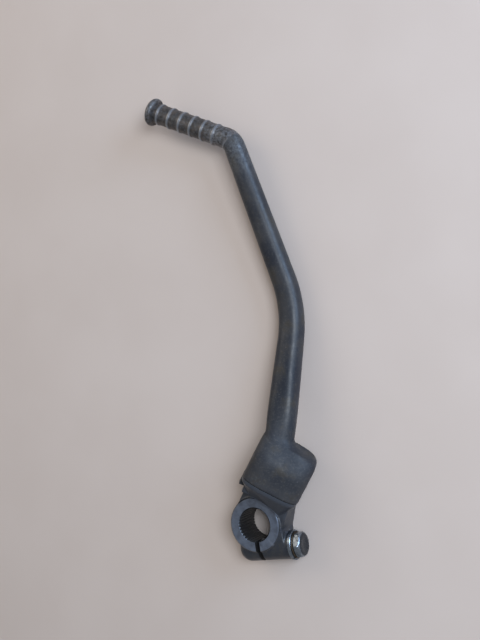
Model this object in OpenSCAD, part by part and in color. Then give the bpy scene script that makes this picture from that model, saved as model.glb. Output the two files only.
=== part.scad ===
// Folding kick start lever: a forged arm with a ribbed foot peg swings on a stud that stands
// on a splined clamp boss. The bore runs along Z and the hinge stud along Y. The lever lies as it
// comes to rest: on the boss's flat face and on the belly of the arm's middle bend.

/* [Clamp boss] */
// Radius of the splined bore, measured at the tooth tips
bore_r = 8.5; // [7.5:0.1:9]
// Number of V grooves round the bore
spline_count = 36; // [24:1:44]
// Depth of each V groove
spline_depth = 0.4; // [0.2:0.05:0.4]
// Share of the bore's circle left as plain tooth tips
spline_land = 0.45; // [0.35:0.05:0.6]
// Outer radius of the clamp ring
ring_r = 14.1; // [13:0.1:15]
// Length of the boss along its bore
boss_len = 17; // [15.5:0.1:20]
// Chamfer at the mouths of the bore
mouth_chamfer = 0.6; // [0.3:0.1:1]
// Chamfer round the outside of the ring
ring_chamfer = 0.7; // [0.3:0.1:1.2]
// Clearance of the facing cut round the ring
facing_clear = 0.2; // [0.1:0.1:0.6]
// Depth of the facing cut under the ring's face, where the neck rises
facing_drop = 0.4; // [0.2:0.1:0.6]
// Turn of the clamp slot away from the hinge stud's line
clamp_turn = 38; // [30:1:44]
// Width of the clamp slot
slot_w = 2.2; // [1.5:0.1:3]
// Distance from the bore's axis to the pinch bolt's axis
bolt_drop = 12.6; // [12.6:0.1:14.5]
// Radius of the clamp ears round the pinch bolt
ear_r = 7; // [6.4:0.1:8]
// Distance by which the seat of the spring washer stands clear of the ring
seat_clear = 2.7; // [0.3:0.1:3]
// Edge radius of the ear under the bolt head
seat_edge = 1.6; // [0.5:0.1:2.4]
// Distance by which the threaded ear stops short of the ring's radius
thread_short = 0.7; // [0:0.1:2]
// Edge radius of the threaded ear
thread_edge = 5.8; // [4:0.1:6]
// Wall left at the blind end of the threaded hole
thread_wall = 3; // [2.5:0.1:4]
// Gap between the bolt's end and the blind end of its hole
bolt_end_gap = 0.5; // [0.3:0.1:1]

/* [Pinch bolt] */
// Nominal diameter of the pinch bolt
bolt_d = 8; // [6:0.5:8]
// Radial clearance of the bolt in both ears
bolt_fit = 0.05; // [0.03:0.01:0.15]
// Width across the flats of the bolt head
head_af = 12; // [11:0.5:14]
// Height of the bolt head
head_h = 3.9; // [3.5:0.1:6]
// Thickness of the spring washer
spring_washer_t = 2; // [1.6:0.1:3]
// Outer diameter of the spring washer
spring_washer_d = 15.2; // [13:0.1:15.4]
// Width of the split in the spring washer
washer_split = 1.2; // [0.6:0.1:2]
// Turn of the washer's split about the bolt, from the back
split_turn = 235; // [0:5:360]
// Thickness of the flat washer
flat_washer_t = 0.8; // [0.6:0.1:2.2]
// Outer diameter of the flat washer
flat_washer_d = 13.6; // [12:0.1:15]

/* [Hinge] */
// Shift of the hinge axis from the middle of the bore, towards the engine
hinge_shift = 5; // [4:0.1:6.5]
// Height of the parting plane between boss and arm above the bore's axis
parting_y = 22; // [21:0.1:25]
// Gap between boss and arm at the parting plane
parting_gap = 0.2; // [0.1:0.05:0.3]
// Distance by which the boss's head stands back from the sides of the arm's block
head_inset = 0.2; // [0.1:0.1:0.6]
// Height of the boss's head under the parting plane
shoulder_h = 1.2; // [0.8:0.1:4]
// Drop from the parting plane to the neck's waist
waist_drop = 3.7; // [3:0.1:5]
// Reach of the neck's waist on the bolt head's side
waist_reach = 11.8; // [11:0.1:13]
// Depth of the stop lug's recess under the parting plane
lug_depth = 5.8; // [5:0.1:6.2]
// Radius of the hinge stud
stud_r = 7; // [6.6:0.1:7.2]
// Length of the hinge stud above the parting plane
stud_len = 16; // [15.5:0.5:18]
// Radial running clearance of the stud
stud_fit = 0.05; // [0.03:0.01:0.1]
// End clearance over the stud
stud_end_gap = 0.6; // [0.3:0.1:1]
// Turn of the arm from stowed to kicking position
unfold_turn = 95; // [70:1:97]

/* [Stop lug] */
// Turn that the stop lug covers round the hinge
lug_turn = 28; // [20:1:32]
// Thickness of the ledge that the stop lug runs over
ledge_h = 3.4; // [2:0.1:4]
// Distance by which the ledge stops short of the stop lug's reach
ledge_short = 3; // [0.5:0.1:3.5]
// Inner radius of the stop lug
lug_r = 10.8; // [10.4:0.1:11.4]
// Reach of the stop lug from the hinge axis
lug_reach = 18.2; // [16.5:0.1:19]
// Turn left free at each stop
stop_gap_turn = 1.2; // [0.5:0.1:2]
// Clearance round the lug in its recess
lug_fit = 0.3; // [0.2:0.05:0.5]

/* [Detent, seal and pin] */
// Radius of the detent ball
ball_r = 2.4; // [2:0.1:2.5]
// Distance of the detent ball from the hinge axis
ball_path_r = 10.2; // [10:0.1:10.4]
// Height of the ball above the shoulder's face
ball_rise = 0.9; // [0.6:0.1:1.1]
// Clearance of the ball in its hole and its track
ball_fit = 0.1; // [0.05:0.05:0.15]
// Wire radius of the detent spring
spring_wire_r = 0.35; // [0.25:0.05:0.4]
// Turns of the detent spring
spring_turns = 6; // [4:1:7]
// Depth of the detent spring's hole below the shoulder's face
spring_hole = 10.5; // [9:0.5:11]
// Cord radius of the seal ring on the stud
seal_cord_r = 0.8; // [0.6:0.1:1]
// Height of the seal ring above the parting plane
seal_y = 4; // [3:0.5:6]
// Radius of the retaining pin across the stud's groove
pin_r = 2; // [1.5:0.1:2.3]
// Length of the retaining pin
pin_len = 22; // [18:0.5:24]
// Height of the retaining pin above the parting plane
pin_y = 12; // [10:0.5:14]
// Depth of the pin's groove in the stud
pin_bite = 1.8; // [1.2:0.1:2]

/* [Arm block] */
// Reach of the block from the hinge axis towards the peg side
block_left = 18; // [16:0.1:19]
// Reach of the block from the hinge axis on the other side
block_right = 13.2; // [12.8:0.1:15]
// Reach of the block from the hinge axis to its front
block_front = 12.4; // [12:0.1:14]
// Reach of the block from the hinge axis to its back
block_back = 10.8; // [10.6:0.1:11]
// Length of the block along the hinge axis
block_len = 23.5; // [23:0.5:30]
// Length of the block that the rounded top takes up
block_round = 7; // [5:0.5:9]
// Height above the parting plane from where the block's front slopes into the arm
slope_from = 7; // [3:0.5:10]
// Radius of the fillet between the block and the arm
root_fillet = 3.4; // [1:0.1:4]
// Squareness of the block's section, where 2 is an oval
block_square = 3.6; // [3:0.1:5]
// Turn of the block's flat front about the hinge axis
block_turn = 20; // [10:1:28]

/* [Arm and peg] */
// Sideways place of the arm's middle bend, from the hinge axis
elbow_x = -37.8; // [-43:0.1:-31]
// Height of the arm's middle bend above the bore's axis
elbow_y = 105.5; // [97:0.5:115]
// Place of the arm's middle bend along the bore
elbow_z = -3.29; // [-8:0.01:-1]
// Sideways place of the peg bend, from the hinge axis
bend_x = -109; // [-114:0.1:-98]
// Height of the peg bend above the bore's axis
bend_y = 166.8; // [158:0.1:180]
// Place of the peg bend along the bore
bend_z = 2.2; // [2:0.1:12]
// Radius of the middle bend on the arm's centre line
elbow_radius = 70; // [50:1:85]
// Radius of the peg bend on the arm's centre line
bend_radius = 9; // [8:0.5:12]
// Half of the arm's width next to the block
arm_half_w = 7; // [6.5:0.1:7.6]
// Half of the arm's thickness next to the block
arm_half_t = 6.2; // [5.6:0.1:7]
// Squareness of the arm's section next to the block, where 2 is an oval
arm_square = 2.6; // [2:0.1:4]
// Radius of the arm where it runs into the peg
arm_end_r = 5.6; // [5.4:0.1:6]
// Length of the peg from its bend to the end of its head
peg_len = 52.3; // [50:0.1:60]
// Radius of the peg between its ribs
peg_r = 5.4; // [4.8:0.1:5.6]
// Turn of the peg out of the arm's sideways direction, about the hinge
peg_turn = 3.8; // [0:0.1:12]
// Droop of the free peg end towards the boss
peg_droop = 6.6; // [0:0.1:12]
// Number of raised ribs on the peg
rib_count = 6; // [4:1:6]
// Distance from the last rib to the peg's head
rib_last = 3; // [2:0.1:5]
// Distance of the first rib from the peg bend
rib_first = 9.8; // [9:0.1:12]
// Rise of each rib above the peg
rib_rise = 0.45; // [0.2:0.05:0.7]
// Radius of each rib's round edge
rib_edge = 0.9; // [0.8:0.1:1.2]
// Radius of the peg's head
head_r = 7.5; // [6.5:0.1:8.5]
// Thickness of the peg's head
head_t = 4; // [3:0.1:4.2]

/* [Hidden] */
$fn = 64;
cut = 0.01;
steel_black = [0.16, 0.17, 0.18];
steel_bare = [0.45, 0.47, 0.52];
zinc = [0.78, 0.8, 0.82];
rubber = [0.08, 0.08, 0.08];

spline_root_r = bore_r + spline_depth;
bolt_r = bolt_d / 2;
head_ear = sqrt(pow(ring_r, 2) - pow(bolt_drop - spring_washer_d / 2, 2)) + seat_clear;
thread_ear = ring_r - thread_short;
rib_pitch = (peg_len - head_t - rib_first - rib_last) / (rib_count - 1);
hinge_floor = parting_y - shoulder_h;
lug_floor = parting_y - lug_depth;
lug_mid = 180 - block_turn;
ball_turn = 300;
ball_y = parting_y + ball_rise - ball_r;
coil_r = ball_r - spring_wire_r - ball_fit;
spring_low = parting_y - spring_hole + spring_wire_r;
spring_high = ball_y - sqrt(pow(ball_r + spring_wire_r, 2) - coil_r * coil_r) - ball_fit;
groove_r = stud_r - pin_bite;
pin_axis_r = groove_r + pin_r + stud_fit;
stud_bore_r = stud_r + stud_fit;
stud_bore_len = stud_len + stud_end_gap;

ring_sides = 36;
up = [0, 1, 0];
block_face = [sin(block_turn), 0, cos(block_turn)];
block_across = [cos(block_turn), 0, -sin(block_turn)];
arm_face = [-0.1, 0, 1];
elbow = [elbow_x, elbow_y, elbow_z];
bend = [bend_x, bend_y, bend_z];
peg_way = [-cos(peg_droop) * cos(peg_turn), -sin(peg_droop), cos(peg_droop) * sin(peg_turn)];
root = [-8.8, 45, 7.6];

function unit(v) = v / norm(v);
function mix(a, b, t) = a + (b - a) * t;
function signed_power(v, p) = sign(v) * pow(abs(v), p);
function between(a, b) = acos(unit(a) * unit(b));
function turn_to(a, b, t) = let (w = between(a, b))
    (unit(a) * sin((1 - t) * w) + unit(b) * sin(t * w)) / sin(w);

// A closed section: a rounded rectangle or oval across the way that the arm runs
function section(centre, way, face, half_w, half_t, square) =
    let (across = unit(cross(way, face)))
    let (deep = unit(cross(across, way)))
    [for (i = [0:ring_sides - 1])
        let (a = 360 * i / ring_sides)
        centre + across * half_w * signed_power(cos(a), 2 / square)
            + deep * half_t * signed_power(sin(a), 2 / square)];

// Stations along a round corner at b between a and c: each is a point and a direction
function corner_reach(a, b, c, r) = r / tan(between(a - b, c - b) / 2);
function corner(a, b, c, r, steps) =
    let (start = b + unit(a - b) * corner_reach(a, b, c, r))
    let (end = b + unit(c - b) * corner_reach(a, b, c, r))
    let (middle = b + unit(unit(a - b) + unit(c - b)) * r / sin(between(a - b, c - b) / 2))
    [for (i = [0:steps])
        [middle + r * turn_to(start - middle, end - middle, i / steps), turn_to(b - a, c - b, i / steps)]];

// Skin over a list of sections, closed at both ends
module skin(rings) {
    n = len(rings[0]);
    last = len(rings) - 1;
    points = [for (r = rings) each r];
    sides = [for (k = [0:last - 1]) for (i = [0:n - 1])
        let (j = (i + 1) % n)
        each [[k * n + i, k * n + j, (k + 1) * n + j], [k * n + i, (k + 1) * n + j, (k + 1) * n + i]]];
    low = [for (i = [0:n - 1]) n - 1 - i];
    high = [for (i = [0:n - 1]) last * n + i];
    polyhedron(points = points, faces = concat([low], sides, [high]), convexity = 6);
}

// Moves a shape drawn along Z so that it stands on the parting plane, on the hinge axis
module on_hinge(y = 0) translate([0, y, hinge_shift]) rotate([-90, 0, 0]) children();

// Turn about the hinge, measured from X towards the engine
module hinge_turn(a) rotate([0, 0, -a]) children();

// Frame of the clamp: X along the pinch bolt, Y from the slot towards the bore
module on_clamp() rotate([0, 0, clamp_turn]) children();

// Moves a shape drawn along Z so that it lies along the pinch bolt
module on_bolt(x = 0) on_clamp() translate([x, -bolt_drop, 0]) rotate([0, 90, 0]) children();

module spline_grooves() {
    land = 360 / spline_count * spline_land / 2;
    step = 360 / spline_count;
    star = [for (i = [0:spline_count - 1]) each [
        [cos(i * step - step / 2 + land), sin(i * step - step / 2 + land)] * (bore_r - spline_depth / 2),
        [cos(i * step), sin(i * step)] * spline_root_r,
        [cos(i * step + step / 2 - land), sin(i * step + step / 2 - land)] * (bore_r - spline_depth / 2)]];
    translate([0, 0, -boss_len]) linear_extrude(2 * boss_len) polygon(star);
}

module ring_body() {
    half = boss_len / 2;
    rotate_extrude() polygon([
        [0, -half],
        [ring_r - ring_chamfer, -half],
        [ring_r, ring_chamfer - half],
        [ring_r, half - ring_chamfer],
        [ring_r - ring_chamfer, half],
        [0, half]]);
}

module bore_cut() {
    cylinder(r = bore_r, h = 2 * boss_len, center = true);
    spline_grooves();
    for (side = [0, 180]) rotate([side, 0, 0])
        translate([0, 0, boss_len / 2 - mouth_chamfer])
            cylinder(r1 = bore_r, r2 = bore_r + mouth_chamfer + cut, h = mouth_chamfer + cut);
}

// Half outline of an ear that is rounded at its far end
module ear_outline(reach, corner) {
    square([ear_r - corner, reach]);
    square([ear_r, reach - corner]);
    intersection() {
        translate([ear_r - corner, reach - corner]) circle(r = corner);
        square([ear_r, reach]);
    }
}

module ears() {
    on_bolt() rotate_extrude() ear_outline(head_ear, seat_edge);
    on_bolt() mirror([0, 0, 1]) rotate_extrude() ear_outline(thread_ear, thread_edge);
    on_clamp() translate([thread_edge - thread_ear, -bolt_drop, -ear_r])
        cube([thread_ear - thread_edge + head_ear - seat_edge, bolt_drop, 2 * ear_r]);
}

// Head of the boss under the arm: the block's own section, set back a little
module boss_head(y, h) {
    half_w = (block_left + block_right) / 2 - head_inset;
    half_t = (block_front + block_back) / 2 - head_inset;
    on_hinge(y) rotate([0, 0, block_turn])
        translate([(block_right - block_left) / 2, (block_back - block_front) / 2, 0])
            linear_extrude(h) polygon([for (i = [0:ring_sides - 1])
                let (a = 360 * i / ring_sides)
                [half_w * signed_power(cos(a), 2 / block_square),
                    half_t * signed_power(sin(a), 2 / block_square)]]);
}

module neck() {
    slab = 0.6;
    face_z = boss_len / 2 - ring_chamfer;
    hull() {
        boss_head(hinge_floor, shoulder_h);
        translate([-ring_r * 0.6, ring_r * 0.76, -face_z]) cube([ring_r * 1.2, 0.5, 2 * face_z]);
    }
    hull() {
        intersection() {
            boss_head(parting_y - waist_drop - slab, slab);
            translate([-ring_r, 0, -boss_len])
                cube([ring_r + waist_reach, 2 * ring_r, boss_len + face_z]);
        }
        translate([-ring_r + 0.4, ring_r * 0.2, -face_z]) cube([2 * ring_r - 0.8, 0.5, 2 * face_z]);
    }
}

// Round facing cut that leaves the ring's face whole where the neck rises from it
module ring_facing() {
    translate([0, 0, boss_len / 2 - facing_drop]) cylinder(r = ring_r + facing_clear, h = 2 * boss_len);
}

// Ledge on the boss that the stop lug runs over, cut level with the ring's back
module lug_ledge() {
    intersection() {
        on_hinge() hinge_turn(lug_mid + lug_turn / 2 + stop_gap_turn + unfold_turn)
            rotate_extrude(angle = lug_turn + 2 * stop_gap_turn + unfold_turn)
                translate([stud_r, lug_floor - ledge_h]) square([lug_reach - stud_r - ledge_short, ledge_h]);
        translate([-2 * ring_r, 0, ring_chamfer - boss_len / 2])
            cube([4 * ring_r, parting_y, 3 * ring_r]);
    }
}

module lug_recess() {
    on_hinge() hinge_turn(lug_mid + lug_turn / 2 + stop_gap_turn + unfold_turn)
        rotate_extrude(angle = lug_turn + 2 * stop_gap_turn + unfold_turn)
            translate([lug_r - lug_fit, lug_floor]) square([block_left, lug_depth + 1]);
}

module stud() {
    on_hinge(ring_r - 1) cylinder(r = stud_r, h = parting_y - ring_r + 1 + stud_len - 1);
    on_hinge(parting_y + stud_len - 1) cylinder(r1 = stud_r, r2 = stud_r - 1, h = 1);
}

module stud_grooves() {
    on_hinge(parting_y + pin_y - pin_r - stud_fit) difference() {
        cylinder(r = stud_r + 1, h = 2 * (pin_r + stud_fit));
        translate([0, 0, -cut]) cylinder(r = groove_r, h = 2 * (pin_r + stud_fit) + 2 * cut);
    }
    on_hinge(parting_y + seal_y - seal_cord_r - stud_fit) difference() {
        cylinder(r = stud_r + 1, h = 2 * (seal_cord_r + stud_fit));
        translate([0, 0, -cut])
            cylinder(r = stud_r - 2 * seal_cord_r - stud_fit, h = 2 * (seal_cord_r + stud_fit) + 2 * cut);
    }
}

module clamp_boss() {
    color(steel_black) difference() {
        union() {
            ring_body();
            ears();
            difference() {
                neck();
                ring_facing();
            }
            lug_ledge();
            stud();
        }
        bore_cut();
        on_clamp() translate([-slot_w / 2, -2 * bolt_drop, -boss_len])
            cube([slot_w, 2 * bolt_drop, 2 * boss_len]);
        on_bolt(thread_wall - thread_ear) cylinder(r = bolt_r + bolt_fit, h = thread_ear + head_ear);
        lug_recess();
        stud_grooves();
        on_hinge(parting_y - spring_hole) hinge_turn(ball_turn)
            translate([ball_path_r, 0, 0]) cylinder(r = ball_r + ball_fit, h = spring_hole + 1);
    }
}

module pinch_bolt() {
    color(zinc) {
        head_x = head_ear + spring_washer_t + flat_washer_t;
        tip_x = thread_wall + bolt_end_gap - thread_ear;
        on_bolt(tip_x) cylinder(r = bolt_r, h = head_x - tip_x + head_h / 2);
        on_bolt(head_x) intersection() {
            cylinder(d = head_af / cos(30), h = head_h, $fn = 6);
            rotate_extrude() polygon([
                [0, 0],
                [head_af / 2 + 0.3, 0],
                [head_af / 2 + 0.9, 0.5],
                [head_af / 2 + 0.9, head_h - 1.6],
                [head_af / 2 - 0.4, head_h - 0.4],
                [head_af / 2 - 1.4, head_h],
                [0, head_h]]);
        }
    }
}

module spring_washer() {
    color(zinc) on_bolt(head_ear) difference() {
        cylinder(d = spring_washer_d, h = spring_washer_t);
        translate([0, 0, -1]) cylinder(r = bolt_r + bolt_fit, h = spring_washer_t + 2);
        rotate([0, 0, split_turn]) translate([0, -washer_split / 2, -1])
            cube([spring_washer_d, washer_split, spring_washer_t + 2]);
    }
}

module flat_washer() {
    color(steel_bare) on_bolt(head_ear + spring_washer_t) difference() {
        cylinder(d = flat_washer_d, h = flat_washer_t);
        translate([0, 0, -1]) cylinder(r = bolt_r + bolt_fit, h = flat_washer_t + 2);
    }
}

// Sections of the forging from the parting plane to where the peg begins
block_half_w = (block_left + block_right) / 2;
top_power = 0.66;
block_low = parting_y + parting_gap;
block_high = parting_y + block_len;
round_low = block_high - block_round;
leg_way = unit(elbow - root);
neck_half_w = arm_half_w / leg_way[1];
function leg_at(y) = root + leg_way * (y - root[1]) / leg_way[1];
side_spare = block_half_w - neck_half_w;
fillet_share = root_fillet / side_spare;
function front_share(y) =
    let (low = parting_y + slope_from)
    let (t = min(1, max(0, (y - low) / (block_high + root_fillet - low))))
    1 - t * t * (3 - 2 * t);
function root_section(y, k) =
    let (leg = leg_at(y) - [0, y, hinge_shift])
    let (front = mix(leg * block_face + arm_half_t, block_front, front_share(y)))
    let (back = mix(arm_half_t - leg * block_face, block_back, k))
    let (side = mix(leg * block_across, (block_right - block_left) / 2, k))
    section([0, y, hinge_shift] + block_across * side + block_face * (front - back) / 2, up, block_face,
        mix(neck_half_w, block_half_w, k), (front + back) / 2, mix(arm_square, block_square, k));
block_steps = 8;
block_sections = [for (i = [0:block_steps])
    root_section(mix(block_low, round_low, i / block_steps), 1)];
top_sections = [for (i = [1:9])
    let (k = fillet_share + (1 - fillet_share) * pow(cos(10 * i), top_power))
    root_section(mix(round_low, block_high, pow(sin(10 * i), top_power)), k)];
fillet_sections = [for (i = [1:5])
    root_section(block_high + root_fillet * (1 - cos(18 * i)), fillet_share * (1 - sin(18 * i)))];
turn_run = 30;
turn_steps = 8;
leg_start = leg_at(block_high + root_fillet);
turn_sections = [for (i = [1:turn_steps])
    let (t = i / turn_steps)
    let (way = unit(mix(up, leg_way, min(1, 2 * t))))
    section(leg_start + leg_way * turn_run * t, way, unit(mix(block_face, arm_face, t)),
        mix(neck_half_w, arm_half_w, t), arm_half_t, arm_square)];
peg_start = bend + peg_way * (corner_reach(elbow, bend, bend + peg_way, bend_radius) + 0.5);
stations = concat(
    corner(root, elbow, bend, elbow_radius, 12),
    corner(elbow, bend, bend + peg_way * peg_len, bend_radius, 9),
    [[peg_start, peg_way]]);
arm_sections = [for (s = stations)
    let (t = min(1, norm(s[0] - leg_start) / norm(bend - leg_start)))
    section(s[0], s[1], arm_face, mix(arm_half_w, arm_end_r, t), mix(arm_half_t, arm_end_r, t),
        mix(arm_square, 2, t))];

module peg() {
    way_turn = atan2(peg_way[2], peg_way[0]);
    translate(bend) rotate([0, -way_turn, 0]) rotate([0, 90, 0]) rotate([peg_droop, 0, 0]) {
        rotate_extrude() {
            translate([0, norm(peg_start - bend) - 2]) square([peg_r, peg_len - norm(peg_start - bend)]);
            for (k = [0:rib_count - 1])
                translate([peg_r + rib_rise - rib_edge, rib_first + rib_pitch * k])
                    circle(r = rib_edge, $fn = 24);
        }
        translate([0, 0, peg_len - head_t]) rotate_extrude() {
            square([head_r - head_t / 2, head_t]);
            translate([head_r - head_t / 2, head_t / 2]) circle(r = head_t / 2, $fn = 32);
        }
    }
}

module stop_lug() {
    on_hinge(lug_floor + lug_fit) hinge_turn(lug_mid + lug_turn / 2)
        rotate_extrude(angle = lug_turn)
            translate([lug_r, 0]) square([lug_reach - lug_r, lug_depth + 1]);
}

// Groove that clears the ball over the whole turn, with room for the ball at both ends
module ball_track() {
    half_w = ball_r + ball_fit;
    over = asin(half_w / ball_path_r) + 1;
    top = ball_rise + ball_fit;
    on_hinge(parting_y) hinge_turn(ball_turn + over)
        rotate_extrude(angle = unfold_turn + 2 * over) translate([ball_path_r, 0]) polygon([
            [-half_w, -1],
            [half_w, -1],
            [half_w, top - 0.4],
            [half_w - 0.5, top],
            [0.5 - half_w, top],
            [-half_w, top - 0.4]]);
}

module pin_line(r, len) {
    translate([0, parting_y + pin_y, hinge_shift]) rotate([0, block_turn, 0])
        translate([0, 0, -pin_axis_r]) rotate([0, 90, 0]) cylinder(r = r, h = len, center = true);
}

module kick_arm() {
    color(steel_black) difference() {
        union() {
            skin(concat(block_sections, top_sections, fillet_sections, turn_sections, arm_sections));
            peg();
            stop_lug();
        }
        on_hinge(hinge_floor) cylinder(r = stud_bore_r, h = shoulder_h + stud_bore_len);
        ball_track();
        pin_line(pin_r + stud_fit, pin_len + 1);
    }
}

module retaining_pin() color(steel_bare) pin_line(pin_r, pin_len);

module seal_ring() {
    color(rubber) on_hinge(parting_y + seal_y) rotate_extrude()
        translate([stud_r - seal_cord_r, 0]) circle(r = seal_cord_r, $fn = 24);
}

module detent_ball() {
    color(zinc) on_hinge(ball_y) hinge_turn(ball_turn)
        translate([ball_path_r, 0, 0]) sphere(r = ball_r, $fn = 48);
}

module detent_spring() {
    steps = 14;
    rise = spring_high - spring_low;
    rings = [for (i = [0:spring_turns * steps])
        let (a = 360 * i / steps)
        let (z = rise * i / (spring_turns * steps))
        [for (k = [0:7]) let (b = 45 * k)
            [cos(a) * (coil_r + spring_wire_r * cos(b)), sin(a) * (coil_r + spring_wire_r * cos(b)),
                z + spring_wire_r * sin(b)]]];
    color(zinc) on_hinge(spring_low) hinge_turn(ball_turn) translate([ball_path_r, 0, 0]) skin(rings);
}

clamp_boss();
pinch_bolt();
spring_washer();
flat_washer();
kick_arm();
retaining_pin();
seal_ring();
detent_ball();
detent_spring();
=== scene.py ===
"""Dresses the folding kick start lever: forged arm, clamp boss, pinch bolt and studio."""

import logging
import math
from dataclasses import dataclass, field
from enum import Enum
from itertools import product
from typing import Sequence

import bmesh
import bpy
import numpy as np
from mathutils import Matrix, Vector


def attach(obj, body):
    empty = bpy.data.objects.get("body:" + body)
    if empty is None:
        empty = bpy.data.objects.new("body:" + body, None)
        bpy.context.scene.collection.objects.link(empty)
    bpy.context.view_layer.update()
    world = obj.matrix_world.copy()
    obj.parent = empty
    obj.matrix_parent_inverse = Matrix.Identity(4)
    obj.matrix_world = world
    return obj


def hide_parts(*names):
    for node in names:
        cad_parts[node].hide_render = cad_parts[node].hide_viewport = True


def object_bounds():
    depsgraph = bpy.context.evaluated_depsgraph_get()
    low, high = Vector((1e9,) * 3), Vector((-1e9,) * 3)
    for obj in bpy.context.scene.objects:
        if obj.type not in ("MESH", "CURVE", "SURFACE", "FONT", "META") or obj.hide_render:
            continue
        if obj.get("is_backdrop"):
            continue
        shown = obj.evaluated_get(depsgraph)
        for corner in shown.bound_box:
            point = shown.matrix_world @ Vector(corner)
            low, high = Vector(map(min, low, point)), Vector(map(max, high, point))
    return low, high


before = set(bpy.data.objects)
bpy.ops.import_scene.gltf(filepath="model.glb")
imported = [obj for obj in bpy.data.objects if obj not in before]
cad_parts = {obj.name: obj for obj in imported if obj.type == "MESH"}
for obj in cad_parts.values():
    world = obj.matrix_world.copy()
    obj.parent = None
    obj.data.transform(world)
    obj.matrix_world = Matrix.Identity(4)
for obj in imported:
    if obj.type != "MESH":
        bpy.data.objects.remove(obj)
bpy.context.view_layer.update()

LOG = logging.getLogger("kick_lever")
MM = 0.001
SIDES = 96
Triple = tuple[float, float, float]
Colour = Triple
Point = np.ndarray
Socket = bpy.types.NodeSocket
Piece = bpy.types.Object
Finish = bpy.types.Material
ORIGIN = np.zeros(3)
UP = np.array([0.0, 1.0, 0.0])
ALONG = np.array([0.0, 0.0, 1.0])


class Body(Enum):
    """The two rigid bodies of the lever."""

    BOSS = "boss"
    ARM = "arm"


class Slot(Enum):
    """Material slot names passed along with the new pieces; nothing reads them."""

    BOSS = "boss_steel"
    ARM = "arm_black"
    ZINC = "zinc_plate"
    DULL = "dull_steel"


def unit(v: Sequence[float]) -> Point:
    """Returns the vector at length one."""
    return np.asarray(v, float) / np.linalg.norm(v)


def mix(a: Point | float, b: Point | float, t: float) -> Point | float:
    """Returns the value a share t of the way from a to b."""
    return a + (b - a) * t


def cos_sin(degrees: float) -> tuple[float, float]:
    """Returns the cosine and the sine of an angle."""
    return math.cos(math.radians(degrees)), math.sin(math.radians(degrees))


def around(count: int) -> np.ndarray:
    """Returns equal turns round a full circle, in radians."""
    return np.linspace(0, 2 * math.pi, count, endpoint=False)


def turn_to(a: Sequence[float], b: Sequence[float], t: float) -> Point:
    """Turns direction a towards direction b.

    Args:
        a: Start direction.
        b: End direction.
        t: Share of the turn, 0 to 1.

    Returns:
        The direction in between, at length one.
    """
    a, b = unit(a), unit(b)
    w = math.acos(float(np.clip(a @ b, -1, 1)))
    if w < 1e-6:
        return a
    return (a * math.sin((1 - t) * w) + b * math.sin(t * w)) / math.sin(w)


def section(
    centre: Point,
    way: Point,
    face: Sequence[float],
    half_w: float,
    half_t: float,
    square: float,
    sides: int = SIDES,
) -> np.ndarray:
    """Draws one closed rounded section across the way that a forging runs.

    Args:
        centre: Middle of the section.
        way: Direction of the forging there.
        face: Direction of its front.
        half_w: Half width.
        half_t: Half thickness.
        square: 2 for an oval, more for a squarer shape.
        sides: Number of points.

    Returns:
        The ring of points.
    """
    across = unit(np.cross(way, face))
    deep = unit(np.cross(across, way))
    c, s = np.cos(around(sides)), np.sin(around(sides))
    r = (np.abs(c / half_w) ** square + np.abs(s / half_t) ** square) ** (-1 / square)
    return centre + np.outer(r * c, across) + np.outer(r * s, deep)


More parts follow.
